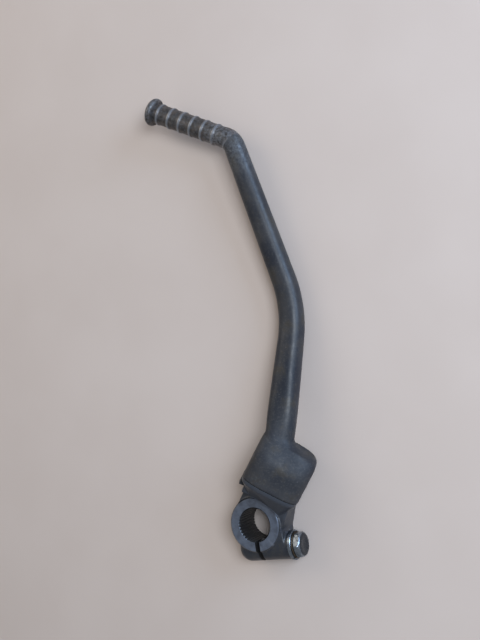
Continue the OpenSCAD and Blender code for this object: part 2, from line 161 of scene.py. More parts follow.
@dataclass(frozen=True)
class Lever:
    """Sizes that several pieces and finishes share, in millimetres and degrees."""

    half_len: float = 8.5
    ring_r: float = 14.1
    bore_r: float = 8.5
    spline_depth: float = 0.4
    clamp_turn: float = 38.0
    slot_w: float = 2.2
    bolt_drop: float = 12.6
    bolt_hole_r: float = 4.05
    head_ear: float = 15.884
    spring_t: float = 2.0
    flat_t: float = 0.8
    bolt_head_h: float = 3.9
    hinge_z: float = 5.0
    parting_y: float = 22.0
    block_left: float = 18.0
    block_right: float = 13.2
    block_front: float = 12.4
    block_back: float = 10.8
    block_square: float = 3.6
    block_turn: float = 20.0
    lug_turn: float = 28.0
    lug_depth: float = 5.8
    bend: Triple = (-109.0, 166.8, 2.2)
    peg_len: float = 52.3
    peg_r: float = 5.4
    peg_turn: float = 3.8
    peg_droop: float = 6.6
    rib_rise: float = 0.45
    head_r: float = 7.5
    head_t: float = 4.0

    @property
    def bolt_way(self) -> Point:
        """Returns the pinch bolt's direction."""
        c, s = cos_sin(self.clamp_turn)
        return np.array([c, s, 0.0])

    @property
    def slot_way(self) -> Point:
        """Returns the direction from the pinch bolt to the bore."""
        return np.cross(ALONG, self.bolt_way)

    @property
    def bolt_foot(self) -> Point:
        """Returns the point of the bolt's axis that is nearest to the bore."""
        return -self.slot_way * self.bolt_drop

    @property
    def head_foot(self) -> float:
        """Returns where the bolt's head begins along its axis."""
        return self.head_ear + self.spring_t + self.flat_t

    @property
    def face(self) -> Point:
        """Returns the direction of the pivot block's front."""
        c, s = cos_sin(self.block_turn)
        return np.array([s, 0.0, c])

    @property
    def across(self) -> Point:
        """Returns the direction across the pivot block's front."""
        return np.cross(UP, self.face)

    @property
    def half_w(self) -> float:
        """Returns half the width of the pivot block."""
        return (self.block_left + self.block_right) / 2

    @property
    def half_t(self) -> float:
        """Returns half the thickness of the pivot block."""
        return (self.block_front + self.block_back) / 2

    @property
    def lug_middle(self) -> float:
        """Returns the turn of the stop lug's middle."""
        return 180 - self.block_turn

    @property
    def lug_floor(self) -> float:
        """Returns the height of the floor that the stop lug runs over."""
        return self.parting_y - self.lug_depth

    @property
    def peg_way(self) -> Point:
        """Returns the foot peg's direction."""
        (down_c, down_s), (turn_c, turn_s) = cos_sin(self.peg_droop), cos_sin(self.peg_turn)
        return np.array([-down_c * turn_c, -down_s, down_c * turn_s])

    @property
    def peg_neck(self) -> float:
        """Returns where the peg's head begins, from the bend."""
        return self.peg_len - self.head_t

    def hinge_at(self, y: float) -> Point:
        """Returns the point of the hinge axis at a height."""
        return np.array([0.0, y, self.hinge_z])

    def block_centre(self, y: float) -> Point:
        """Returns the middle of the pivot block at a height."""
        aside = self.across * (self.block_right - self.block_left) / 2
        return self.hinge_at(y) + aside + self.face * (self.block_front - self.block_back) / 2


LEVER = Lever()


@dataclass
class Sketch:
    """A small writer of shader node trees on one material."""

    name: str
    material: Finish = field(init=False)

    def __post_init__(self) -> None:
        """Makes the material with a bare Principled shader."""
        self.material = bpy.data.materials.new(self.name)
        self.material.use_nodes = True
        self.tree = self.material.node_tree
        self.shader = self.tree.nodes["Principled BSDF"]
        self.place = self.tree.nodes.new("ShaderNodeTexCoord").outputs["Object"]

    def node(self, kind: str, **settings: object) -> bpy.types.Node:
        """Adds a node and sets its own properties.

        Args:
            kind: Blender's name of the node's type.
            settings: Properties of the node.

        Returns:
            The node.
        """
        made = self.tree.nodes.new(kind)
        for key, value in settings.items():
            setattr(made, key, value)
        return made

    def feed(self, socket: Socket, value: object) -> None:
        """Links a socket or writes a constant into an input.

        Args:
            socket: The input.
            value: A socket, a number, a vector or a colour.
        """
        if isinstance(value, Socket):
            self.tree.links.new(value, socket)
        elif isinstance(value, tuple) and len(value) == 3 and socket.type == "RGBA":
            socket.default_value = (*value, 1.0)
        else:
            socket.default_value = value

    def math(self, operation: str, *values: object) -> Socket:
        """Adds a Math node.

        Args:
            operation: What the node works out.
            values: Its inputs, in order.

        Returns:
            The node's result.
        """
        made = self.node("ShaderNodeMath", operation=operation)
        for socket, value in zip(made.inputs, values):
            self.feed(socket, value)
        return made.outputs[0]

    def times(self, a: object, b: object) -> Socket:
        """Returns the product of two values."""
        return self.math("MULTIPLY", a, b)

    def vector(self, operation: str, *values: object) -> bpy.types.Node:
        """Adds a Vector Math node.

        Args:
            operation: What the node works out.
            values: Its inputs, in order.

        Returns:
            The node, whose result is a vector or a number.
        """
        made = self.node("ShaderNodeVectorMath", operation=operation)
        for socket, value in zip(made.inputs, values):
            self.feed(socket, value)
        return made

    def noise(self, size_mm: float, detail: float = 3.0, rough: float = 0.55) -> Socket:
        """Adds cloud noise of a real size.

        Args:
            size_mm: Size of one cloud in millimetres.
            detail: Number of finer layers.
            rough: Strength of the finer layers.

        Returns:
            The noise value, 0 to 1.
        """
        made = self.node("ShaderNodeTexNoise")
        self.feed(made.inputs["Vector"], self.place)
        made.inputs["Scale"].default_value = 1.0 / (size_mm * MM)
        made.inputs["Detail"].default_value = detail
        made.inputs["Roughness"].default_value = rough
        return made.outputs["Fac"]

    def range(
        self, value: Socket, low: float, high: float, to_low: float = 0.0, to_high: float = 1.0
    ) -> Socket:
        """Maps a value between two limits smoothly, and clamps it.

        Args:
            value: The value.
            low: Where the change begins.
            high: Where the change ends.
            to_low: Result up to the low limit.
            to_high: Result from the high limit on.

        Returns:
            The mapped value.
        """
        made = self.node("ShaderNodeMapRange", interpolation_type="SMOOTHSTEP")
        for key, number in (("From Min", low), ("From Max", high), ("To Min", to_low), ("To Max", to_high)):
            made.inputs[key].default_value = number
        self.feed(made.inputs["Value"], value)
        return made.outputs["Result"]

    def under(self, value: Socket, low: float, high: float) -> Socket:
        """Returns a mask that is full under the low limit and gone over the high one."""
        return self.range(value, low, high, 1.0, 0.0)

    def spots(self, size_mm: float, detail: float, rough: float, low: float, high: float) -> Socket:
        """Returns a mask of noise spots: size, finer layers, their strength and the limits."""
        return self.range(self.noise(size_mm, detail, rough), low, high)

    def blend(self, share: object, low: object, high: object) -> Socket:
        """Mixes two colours.

        Args:
            share: Share of the second colour.
            low: First colour.
            high: Second colour.

        Returns:
            The mixed colour.
        """
        made = self.node("ShaderNodeMix", data_type="RGBA")
        self.feed(made.inputs["Factor"], share)
        self.feed(made.inputs[6], low)
        self.feed(made.inputs[7], high)
        return made.outputs[2]

    def pull(self, share: object, low: object, high: object) -> Socket:
        """Mixes two numbers.

        Args:
            share: Share of the second number.
            low: First number.
            high: Second number.

        Returns:
            The mixed number.
        """
        made = self.node("ShaderNodeMix", data_type="FLOAT")
        self.feed(made.inputs["Factor"], share)
        self.feed(made.inputs[2], low)
        self.feed(made.inputs[3], high)
        return made.outputs[0]

    def edges(self, low: float, high: float) -> Socket:
        """Returns a mask of the mesh's outward edges."""
        made = self.node("ShaderNodeNewGeometry")
        return self.range(made.outputs["Pointiness"], low, high)

    def offset(self, origin_mm: Sequence[float]) -> Socket:
        """Returns the way from a point of the frame to the surface, in metres."""
        start = tuple(float(c) * MM for c in origin_mm)
        return self.vector("SUBTRACT", self.place, start).outputs[0]

    def near(self, point_mm: Sequence[float], reach_mm: float, soft_mm: float) -> Socket:
        """Returns a mask round a point of the frame.

        Args:
            point_mm: The point.
            reach_mm: Radius with the full mask.
            soft_mm: Width of the fading rim.

        Returns:
            The mask, 1 near the point and 0 away from it.
        """
        away = self.vector("LENGTH", self.offset(point_mm)).outputs["Value"]
        return self.under(away, reach_mm * MM, (reach_mm + soft_mm) * MM)

    def along(self, origin_mm: Sequence[float], way: Sequence[float]) -> Socket:
        """Measures how far along a line the surface lies.

        Args:
            origin_mm: Point where the line starts.
            way: Direction of the line, at length one.

        Returns:
            The distance in millimetres.
        """
        line = tuple(float(c) for c in way)
        dot = self.vector("DOT_PRODUCT", self.offset(origin_mm), line).outputs["Value"]
        return self.times(dot, 1.0 / MM)

    def off_line(self, origin_mm: Sequence[float], way: Sequence[float]) -> Socket:
        """Measures how far away from a line the surface lies.

        Args:
            origin_mm: A point of the line.
            way: Direction of the line, at length one.

        Returns:
            The distance in millimetres.
        """
        line = tuple(float(c) for c in way)
        cross = self.vector("CROSS_PRODUCT", self.offset(origin_mm), line).outputs[0]
        return self.times(self.vector("LENGTH", cross).outputs["Value"], 1.0 / MM)

    def bump(self, height: Socket, depth_mm: float, after: object = None) -> Socket:
        """Adds a bump layer of a real depth.

        Args:
            height: Height of the bumps, 0 to 1.
            depth_mm: Their full height in millimetres.
            after: Bump layer that lies under this one, if any.

        Returns:
            The surface's direction.
        """
        made = self.node("ShaderNodeBump")
        made.inputs["Distance"].default_value = depth_mm * MM
        made.inputs["Strength"].default_value = 1.0
        self.feed(made.inputs["Height"], height)
        if after is not None:
            self.feed(made.inputs["Normal"], after)
        return made.outputs["Normal"]

    def wear(self, *layers: tuple[Socket, object]) -> Socket:
        """Puts several masks of wear over each other.

        Args:
            layers: Masks, each with its share.

        Returns:
            The strongest of them at each spot.
        """
        total: object = 0.0
        for mask, share in layers:
            total = self.math("MAXIMUM", total, self.times(mask, share))
        return total

    def finish(self, colour: object, rough: object, metal: object, normal: object = None) -> Finish:
        """Feeds the shader.

        Args:
            colour: Base colour.
            rough: Roughness.
            metal: How metallic it is.
            normal: Bump layers, if any.

        Returns:
            The material.
        """
        self.feed(self.shader.inputs["Base Color"], colour)
        self.feed(self.shader.inputs["Roughness"], rough)
        self.feed(self.shader.inputs["Metallic"], metal)
        if normal is not None:
            self.feed(self.shader.inputs["Normal"], normal)
        return self.material


@dataclass(frozen=True)
class WornBlack:
    """Old black finish on the forging, rubbed to grey steel in places."""

    black: Colour = (0.017, 0.019, 0.025)
    faded: Colour = (0.038, 0.037, 0.039)
    steel: Colour = (0.21, 0.22, 0.235)
    rust: Colour = (0.036, 0.029, 0.021)
    dust: Colour = (0.1, 0.095, 0.088)
    sheen: float = 0.26
    matt: float = 0.17
    block_top: float = 46.0
    arm_foot: float = 62.0

    def build(self) -> Finish:
        """Makes the material.

        Returns:
            The material.
        """
        pen = Sketch("worn_black")
        clouds = pen.noise(16.0, 4.0, 0.6)
        tone = pen.blend(pen.range(clouds, 0.36, 0.7), self.black, self.faded)
        tone = pen.blend(pen.times(pen.spots(8.0, 5.0, 0.65, 0.5, 0.7), 0.6), tone, self.rust)
        hand = pen.times(pen.near(LEVER.bend, 5.0, 24.0), pen.spots(1.6, 5.0, 0.7, 0.32, 0.74))
        rubbed = pen.times(pen.edges(0.53, 0.62), pen.range(clouds, 0.4, 0.62))
        worn = pen.wear((hand, 0.5), (rubbed, 0.1), (pen.spots(1.3, 4.0, 0.7, 0.66, 0.76), 0.45))
        colour = pen.blend(worn, tone, self.steel)
        colour = pen.blend(pen.times(pen.spots(1.1, 3.0, 0.7, 0.48, 0.75), 0.3), colour, self.dust)
        rough = pen.pull(pen.spots(5.0, 4.0, 0.6, 0.3, 0.7), 0.3, 0.44)
        matt = pen.range(pen.along(ORIGIN, UP), self.block_top, self.arm_foot, self.matt, 0.0)
        normal = pen.bump(pen.noise(3.5, 2.0, 0.5), 0.06)
        normal = pen.bump(pen.noise(0.8, 3.0, 0.6), 0.02, normal)
        pen.shader.inputs["Specular IOR Level"].default_value = self.sheen
        return pen.finish(colour, pen.math("ADD", rough, matt), pen.pull(worn, 0.0, 0.85), normal)


@dataclass(frozen=True)
class PegFinish:
    """Dark oily peg whose ribs, head and bend are rubbed bright."""

    dark: Colour = (0.026, 0.022, 0.02)
    brown: Colour = (0.062, 0.046, 0.036)
    steel: Colour = (0.32, 0.335, 0.37)
    rib_foot: float = 0.12
    rim: float = 0.9

    def build(self) -> Finish:
        """Makes the material.

        Returns:
            The material.
        """
        pen = Sketch("peg_finish")
        radius = pen.off_line(LEVER.bend, LEVER.peg_way)
        reach = pen.along(LEVER.bend, LEVER.peg_way)
        ribs = pen.range(radius, LEVER.peg_r + self.rib_foot, LEVER.peg_r + LEVER.rib_rise)
        ribs = pen.times(ribs, pen.under(reach, LEVER.peg_neck - 0.6, LEVER.peg_neck))
        rim = pen.times(pen.range(radius, LEVER.head_r - self.rim, LEVER.head_r - 0.1), 0.55)
        patches = pen.spots(1.4, 5.0, 0.7, 0.34, 0.72)
        root = pen.under(reach, 9.0, 20.0)
        worn = pen.wear(
            (ribs, pen.pull(patches, 0.55, 0.95)),
            (root, pen.times(patches, 0.6)),
            (rim, patches),
            (patches, 0.2),
        )
        tone = pen.blend(pen.spots(3.0, 4.0, 0.6, 0.4, 0.65), self.dark, self.brown)
        colour = pen.blend(worn, tone, self.steel)
        normal = pen.bump(pen.noise(0.8, 3.0, 0.6), 0.04)
        return pen.finish(colour, pen.pull(worn, 0.46, 0.33), pen.pull(worn, 0.3, 0.95), normal)


@dataclass(frozen=True)
class BossSteel:
    """Stained forged steel, turned bright on the ring's face and dark in the bore, with painted shade on the
    slot's walls and painted light on the neck's front.
    """

    forged: Colour = (0.02, 0.023, 0.031)
    # stain tone of the forging
    soil_and_shade: Colour = (0.036, 0.035, 0.036)
    # painted light: lighter bluish tone for the neck's front
    neck_light: Colour = (0.038, 0.042, 0.052)
    face: Colour = (0.12, 0.138, 0.178)
    face_dark: Colour = (0.078, 0.088, 0.112)
    edge: Colour = (0.3, 0.32, 0.36)
    # near-black of the bore's walls, also used as painted shade on the slot's inner walls
    bore: Colour = (0.016, 0.015, 0.015)
    face_edge: float = 0.5
    slot_shade_side: float = 0.15
    neck_light_y: float = 10.0
    mark_pitch: float = 6.25

    def build(self) -> Finish:
        """Makes the material.

        Returns:
            The material.
        """
        pen = Sketch("boss_steel")
        radius = pen.off_line(ORIGIN, ALONG)
        height = pen.along(ORIGIN, ALONG)
        up = pen.along(ORIGIN, UP)
        flat = pen.range(pen.math("ABSOLUTE", height), LEVER.half_len - 0.3, LEVER.half_len - 0.1)
        face_r = LEVER.ring_r + self.face_edge
        on_face = pen.times(flat, pen.under(radius, face_r, face_r + 0.3))
        # painted shade: the slot's inner walls below the bolt are coloured near-black, as the bore's walls
        # are
        off_slot = pen.math("ABSOLUTE", pen.along(ORIGIN, LEVER.bolt_way))
        slot_half = LEVER.slot_w / 2 + self.slot_shade_side
        below = pen.under(pen.along(ORIGIN, LEVER.slot_way), 0.0, 1.0)
        slot_shade_mask = pen.times(pen.under(off_slot, slot_half, slot_half + 0.1), below)
        tooth_r = LEVER.bore_r + LEVER.spline_depth
        dark = pen.math("MAXIMUM", slot_shade_mask, pen.under(radius, tooth_r + 0.02, tooth_r + 0.12))
        # painted light: the front of the neck, below the parting line, takes a lighter bluish tone than the
        # forged black
        front = pen.times(pen.range(up, self.neck_light_y, self.neck_light_y + 3.0), pen.range(height, 4.0, 9.0))
        front = pen.times(front, pen.under(up, LEVER.parting_y + 0.4, LEVER.parting_y + 0.6))
        marks = pen.node("ShaderNodeTexWave", wave_type="RINGS", rings_direction="Z")
        pen.feed(marks.inputs["Vector"], pen.place)
        marks.inputs["Scale"].default_value = 1.0 / (self.mark_pitch * MM)
        marks.inputs["Distortion"].default_value = 1.2
        marks.inputs["Detail"].default_value = 2.0
        stain = pen.spots(4.0, 5.0, 0.65, 0.38, 0.66)
        tone = pen.blend(stain, self.forged, self.soil_and_shade)
        tone = pen.blend(pen.times(front, 0.85), tone, self.neck_light)
        tone = pen.blend(on_face, tone, pen.blend(stain, self.face, self.face_dark))
        rims = pen.times(pen.edges(0.52, 0.6), pen.spots(2.5, 4.0, 0.6, 0.35, 0.6))
        tone = pen.blend(pen.times(rims, 0.25), tone, self.edge)
        colour = pen.blend(dark, tone, self.bore)
        normal = pen.bump(pen.noise(1.4, 3.0, 0.6), 0.03)
        normal = pen.bump(pen.times(marks.outputs["Fac"], on_face), 0.015, normal)
        return pen.finish(colour, pen.pull(on_face, 0.4, 0.45), pen.pull(on_face, 0.1, 0.55), normal)


@dataclass(frozen=True)
class PlatedSteel:
    """Plated or plain hardware with dull patches and rust, and painted shade on the end of the bolt's head
    where asked.
    """

    name: str = "zinc_plate"
    bright: Colour = (0.25, 0.28, 0.32)
    dull: Colour = (0.12, 0.135, 0.155)
    rust: Colour = (0.06, 0.036, 0.02)
    rust_share: float = 0.3
    polish: float = 0.26
    matt: float = 0.36
    # painted shade for the end of the bolt's head
    soil_and_shade: Colour = (0.022, 0.026, 0.034)
    end_shade_share: float = 0.0
    end_shade_depth: float = 0.134

    def build(self) -> Finish:
        """Makes the material.

        Returns:
            The material.
        """
        pen = Sketch(self.name)
        patches = pen.spots(2.6, 5.0, 0.65, 0.42, 0.68)
        rusty = pen.times(pen.spots(1.7, 5.0, 0.7, 0.52, 0.68), self.rust_share)
        colour = pen.blend(rusty, pen.blend(patches, self.bright, self.dull), self.rust)
        # painted shade: the end of the bolt's head is darkened to a bluish near-black
        if self.end_shade_share:
            top = LEVER.head_foot + LEVER.bolt_head_h - self.end_shade_depth
            end = pen.range(pen.along(ORIGIN, LEVER.bolt_way), top - 0.35, top)
            colour = pen.blend(pen.times(end, self.end_shade_share), colour, self.soil_and_shade)
        rough = pen.pull(patches, self.polish, self.matt)
        normal = pen.bump(pen.noise(0.6, 3.0, 0.6), 0.02)
        return pen.finish(colour, rough, pen.pull(rusty, 0.95, 0.3), normal)


@dataclass(frozen=True)
class SealRubber:
    """Matt black rubber of the stud's seal."""

    black: Colour = (0.02, 0.02, 0.02)
    dusty: Colour = (0.05, 0.048, 0.045)

    def build(self) -> Finish:
        """Makes the material.

        Returns:
            The material.
        """
        pen = Sketch("seal_rubber")
        dust = pen.spots(1.5, 4.0, 0.6, 0.4, 0.7)
        colour = pen.blend(dust, self.black, self.dusty)
        return pen.finish(colour, pen.pull(dust, 0.55, 0.75), 0.0, pen.bump(pen.noise(0.5), 0.02))


@dataclass
class Finishes:
    """Every finish of the lever, made once."""

    black: Finish = field(default_factory=lambda: WornBlack().build())
    peg: Finish = field(default_factory=lambda: PegFinish().build())
    boss: Finish = field(default_factory=lambda: BossSteel().build())
    # the bolt's finish carries painted shade on its head's end
    zinc: Finish = field(default_factory=lambda: PlatedSteel(end_shade_share=0.85).build())
    dull: Finish = field(
        default_factory=lambda: PlatedSteel(
            "dull_steel", (0.11, 0.085, 0.06), (0.045, 0.034, 0.026), (0.05, 0.028, 0.014), 0.8, 0.4, 0.6
        ).build()
    )
    bright: Finish = field(
        default_factory=lambda: PlatedSteel(
            "bright_steel", (0.66, 0.67, 0.7), (0.4, 0.41, 0.43), (0.1, 0.06, 0.03), 0.1, 0.16, 0.3
        ).build()
    )
    seal: Finish = field(default_factory=lambda: SealRubber().build())


class Bench:
    """Turns points and faces into pieces of the scene."""

    @staticmethod
    def piece(name: str, points_mm: np.ndarray, faces: Sequence[Sequence[int]]) -> Piece:
        """Makes a mesh object.

        Args:
            name: Name of the piece.
            points_mm: Vertices in the frame, in millimetres.
            faces: Vertex indices of each face.

        Returns:
            The linked object.
        """
        mesh = bpy.data.meshes.new(name)
        mesh.from_pydata((np.asarray(points_mm, float) * MM).tolist(), [], [list(f) for f in faces])
        mesh.validate()
        made = bpy.data.objects.new(name, mesh)
        bpy.context.scene.collection.objects.link(made)
        return made

    @classmethod
    def skin(cls, name: str, rings: Sequence[np.ndarray], loop: bool = False) -> Piece:
        """Joins equal rings of points into one closed piece.

        Args:
            name: Name of the piece.
            rings: Rings of points, all of one length.
            loop: Joins the last ring to the first one in place of two end faces.

        Returns:
            The linked object, with its faces outwards.
        """
        n, last = len(rings[0]), len(rings) - 1
        faces: list[list[int]] = []
        for k in range(last + loop):
            a, b = k * n, (k + 1) % (last + 1) * n
            faces += [[a + i, a + (i + 1) % n, b + (i + 1) % n, b + i] for i in range(n)]
        if not loop:
            faces.append(list(range(n))[::-1])
            faces.append([last * n + i for i in range(n)])
        made = cls.piece(name, np.vstack(rings), faces)
        bm = bmesh.new()
        bm.from_mesh(made.data)
        bmesh.ops.recalc_face_normals(bm, faces=bm.faces)
        bm.to_mesh(made.data)
        bm.free()
        return made

    @classmethod
    def lathe(
        cls, name: str, foot: Point, axis: Point, profile: Sequence[tuple[float, float]], sides: int = SIDES
    ) -> Piece:
        """Turns a profile about an axis into a closed piece.

        Args:
            name: Name of the piece.
            foot: Point of the axis that heights count from, in millimetres.
            axis: Direction of the axis.
            profile: Heights and radii, from one end to the other.
            sides: Number of sides of each ring.

        Returns:
            The linked object, with its faces outwards.
        """
        axis = unit(axis)
        first = unit(np.cross(axis, (0.3, 0.5, 0.81)))
        second = np.cross(axis, first)
        a = around(sides)
        circle = np.outer(np.cos(a), first) + np.outer(np.sin(a), second)
        return cls.skin(name, [foot + axis * h + circle * r for h, r in profile])

    @classmethod
    def hull(cls, name: str, *points_mm: np.ndarray) -> Piece:
        """Wraps sets of points in their convex hull.

        Args:
            name: Name of the piece.
            points_mm: Sets of points, in millimetres.

        Returns:
            The linked object.
        """
        made = cls.piece(name, np.vstack(points_mm), [])
        bm = bmesh.new()
        bm.from_mesh(made.data)
        wrapped = bmesh.ops.convex_hull(bm, input=bm.verts)
        inside = [part for part in wrapped["geom_interior"] if isinstance(part, bmesh.types.BMVert)]
        bmesh.ops.delete(bm, geom=inside, context="VERTS")
        bm.to_mesh(made.data)
        bm.free()
        return made

    @classmethod
    def sector(
        cls, name: str, turns: tuple[float, float], radii: tuple[float, float], heights: tuple[float, float]
    ) -> Piece:
        """Sweeps a square section part of the way round the hinge.

        Args:
            name: Name of the piece.
            turns: First and last turn, in degrees from X towards Z.
            radii: Inner and outer radius of the section.
            heights: Lower and upper end of the section.

        Returns:
            The linked object, with its faces outwards.
        """
        (inner, outer), (low, high) = radii, heights
        corners = ((inner, low), (outer, low), (outer, high), (inner, high))
        rings = []
        for turn in np.linspace(*turns, 1 + max(12, round(abs(turns[1] - turns[0]) / 2))):
            c, s = cos_sin(turn)
            rings.append(np.array([LEVER.hinge_at(y) + (r * c, 0.0, r * s) for r, y in corners]))
        return cls.skin(name, rings)

    @classmethod
    def melt(cls, name: str, parts: Sequence[Piece], grain_mm: float, rounds: int) -> Piece:
        """Melts overlapping parts into one skin with soft inner and outer corners.

        Args:
            name: Name of the new piece.
            parts: Closed parts that overlap; they are used up.
            grain_mm: Size of the new skin's faces.
            rounds: Number of smoothing rounds.

        Returns:
            The new object.
        """
        made = cls.piece(name, np.empty((0, 3)), [])
        bm = bmesh.new()
        for part in parts:
            bm.from_mesh(part.data)
            bpy.data.objects.remove(part)
        bm.to_mesh(made.data)
        bm.free()
        grain = made.modifiers.new("grain", "REMESH")
        grain.mode = "VOXEL"
        grain.voxel_size = grain_mm * MM
        soft = made.modifiers.new("soft", "SMOOTH")
        soft.factor = 0.5
        soft.iterations = rounds
        cls.apply(made)
        return made

    @staticmethod
    def apply(made: Piece) -> None:
        """Applies all modifiers of a piece to its mesh.

        Args:
            made: The piece.
        """
        graph = bpy.context.evaluated_depsgraph_get()
        mesh = bpy.data.meshes.new_from_object(made.evaluated_get(graph))
        made.modifiers.clear()
        old = made.data
        made.data = mesh
        bpy.data.meshes.remove(old)

    @classmethod
    def combine(cls, made: Piece, tools: Sequence[Piece], operation: str) -> None:
        """Cuts closed tools out of a piece or adds them to it, and removes the tools.

        Args:
            made: The piece.
            tools: The tools.
            operation: Blender's word for cutting or adding.
        """
        for tool in tools:
            modifier = made.modifiers.new("combine", "BOOLEAN")
            modifier.operation = operation
            modifier.solver = "EXACT"
            modifier.object = tool
        cls.apply(made)
        for tool in tools:
            bpy.data.objects.remove(tool)

    @staticmethod
    def dress(made: Piece, crease: float, body: Body, slot: Slot, finishes: Sequence[Finish]) -> None:
        """Shades a piece and gives it its finishes and its body.

        Args:
            made: The piece.
            crease: Angle in degrees up to which it is shaded smooth.
            body: Body that it rides on.
            slot: Slot of its material; not used.
            finishes: Its materials.
        """
        made.data.shade_smooth()
        made.data.set_sharp_from_angle(angle=math.radians(crease))
        made.data.materials.clear()
        for finish in finishes:
            made.data.materials.append(finish)
        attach(made, body.value)
        LOG.info("piece %s: %d faces, on %s", made.name, len(made.data.polygons), body.value)


@dataclass
class ArmForging:
    """The forged arm: pivot block, bent shank and ribbed foot peg in one skin."""

    gap: float = 0.2
    stud_bore_r: float = 7.05
    stud_bore_chamfer: float = 0.4
    bore_end: float = 38.6
    block_len: float = 23.5
    block_round: float = 7.0
    block_edge: float = 0.5
    slope_from: float = 11.0
    root_fillet: float = 3.4
    top_power: float = 0.66
    arm_square: float = 2.6
    root: Triple = (-8.8, 45.0, 7.6)
    elbow: Triple = (-37.8, 105.5, -3.29)
    arm_face: Triple = (-0.1, 0.0, 1.0)
    elbow_radius: float = 70.0
    bend_radius: float = 9.0
    half_w: float = 7.0
    half_t: float = 6.2
    end_r: float = 5.6
    turn_run: float = 30.0
    rib_count: int = 6
    rib_pitch: float = 7.1
    rib_first: float = 9.8
    rib_half: float = 1.25
    peg_step: float = 0.22
    peg_settle: float = 3.0
    peg_lap: int = 12
    bend_clear: float = 0.25
    hollow_rim: float = 1.2
    hollow_r: float = 2.0
    hollow_depth: float = 0.45
    lug_fit: float = 0.3
    lug_r: float = 10.8
    lug_reach: float = 18.2
    lug_overlap: float = 0.6
    lug_edge: float = 0.35
    crease: float = 40.0

    def __post_init__(self) -> None:
        """Works out the lower leg's direction, the neck's width and the block's two ends."""
        self.leg_way = unit(np.array(self.elbow) - np.array(self.root))
        self.neck_half_w = self.half_w / self.leg_way[1]
        self.low = LEVER.parting_y + self.gap
        self.high = LEVER.parting_y + self.block_len

    def leg_at(self, y: float) -> Point:
        """Returns the arm's lower centre line at a height."""
        root = np.array(self.root)
        return root + self.leg_way * (y - root[1]) / self.leg_way[1]

    def bore_rings(self) -> list[np.ndarray]:
        """Draws the blind stud bore and the block's underside.

        Returns:
            Rings from the bore's end, down to its mouth and outwards.
        """
        bore = (
            (self.bore_end, self.stud_bore_r * 0.5),
            (self.bore_end, self.stud_bore_r),
            (mix(self.bore_end, self.low, 0.5), self.stud_bore_r),
            (self.low + self.stud_bore_chamfer, self.stud_bore_r),
            (self.low, self.stud_bore_r + self.stud_bore_chamfer),
        )
        rings = [section(LEVER.hinge_at(y), UP, LEVER.face, r, r, 2) for y, r in bore]
        for share in (0.25, 0.5, 0.75):
            rings.append(
                section(
                    mix(LEVER.hinge_at(self.low), LEVER.block_centre(self.low), share),
                    UP,
                    LEVER.face,
                    mix(self.stud_bore_r, LEVER.half_w - self.block_edge, share),
                    mix(self.stud_bore_r, LEVER.half_t - self.block_edge, share),
                    mix(2, LEVER.block_square, share),
                )
            )
        return rings

    def block_rings(self) -> list[np.ndarray]:
        """Draws the block's sides, its rounded top and the fillet into the arm.

        Returns:
            Rings from the block's lower edge up to the neck.
        """
        round_low = self.high - self.block_round
        rings = []
        for turn in (0, 30, 60, 90):
            c, s = cos_sin(turn)
            rings.append(self.root_ring(self.low + self.block_edge * (1 - c), 1.0, self.block_edge * (1 - s)))
        for t in np.linspace(0.06, 1.0, 9):
            rings.append(self.root_ring(mix(self.low + self.block_edge, round_low, float(t)), 1.0))
        share = self.root_fillet / (LEVER.half_w - self.neck_half_w)
        for turn in np.linspace(0, 90, 31)[1:]:
            c, s = cos_sin(turn)
            k = share + (1 - share) * max(c, 0.0) ** self.top_power
            rings.append(self.root_ring(mix(round_low, self.high, s**self.top_power), k))
        for turn in np.linspace(0, 90, 13)[1:]:
            c, s = cos_sin(turn)
            rings.append(self.root_ring(self.high + self.root_fillet * (1 - c), share * (1 - s)))
        return rings

    def front_share(self, y: float) -> float:
        """Tells how the block's front slopes down to the arm.

        Args:
            y: Height on the block.

        Returns:
            The share of the front that is left there, from 1 down to 0.
        """
        low = LEVER.parting_y + self.slope_from
        t = min(1.0, max(0.0, (y - low) / (self.high + self.root_fillet - low)))
        return 1 - t * t * (3 - 2 * t)

    def root_ring(self, y: float, k: float, inset: float = 0.0) -> np.ndarray:
        """Draws a ring between the arm's section and the block's.

        Args:
            y: Height of the ring.
            k: 0 for the arm's section, 1 for the block's.
            inset: Distance by which the ring stands back all round.

        Returns:
            The ring of points.
        """
        leg = self.leg_at(y) - LEVER.hinge_at(y)
        depth = float(leg @ LEVER.face)
        front = mix(depth + self.half_t, LEVER.block_front, self.front_share(y))
        back = mix(self.half_t - depth, LEVER.block_back, k)
        side = mix(float(leg @ LEVER.across), (LEVER.block_right - LEVER.block_left) / 2, k)
        return section(
            LEVER.hinge_at(y) + LEVER.across * side + LEVER.face * (front - back) / 2,
            UP,
            LEVER.face,
            mix(self.neck_half_w, LEVER.half_w, k) - inset,
            (front + back) / 2 - inset,
            mix(self.arm_square, LEVER.block_square, k),
        )

    def corner(self, a: Point, b: Point, c: Point, r: float, steps: int) -> list[tuple[Point, Point]]:
        """Lays stations round a corner.

        Args:
            a: Point before the corner.
            b: The corner.
            c: Point after the corner.
            r: Radius on the centre line.
            steps: Number of steps round it.

        Returns:
            Points and directions.
        """
        to_a, to_c = unit(a - b), unit(c - b)
        w = math.acos(float(to_a @ to_c))
        reach = r / math.tan(w / 2)
        start, end = b + to_a * reach, b + to_c * reach
        middle = b + unit(to_a + to_c) * r / math.sin(w / 2)
        return [
            (middle + r * turn_to(start - middle, end - middle, i / steps), turn_to(b - a, c - b, i / steps))
            for i in range(steps + 1)
        ]

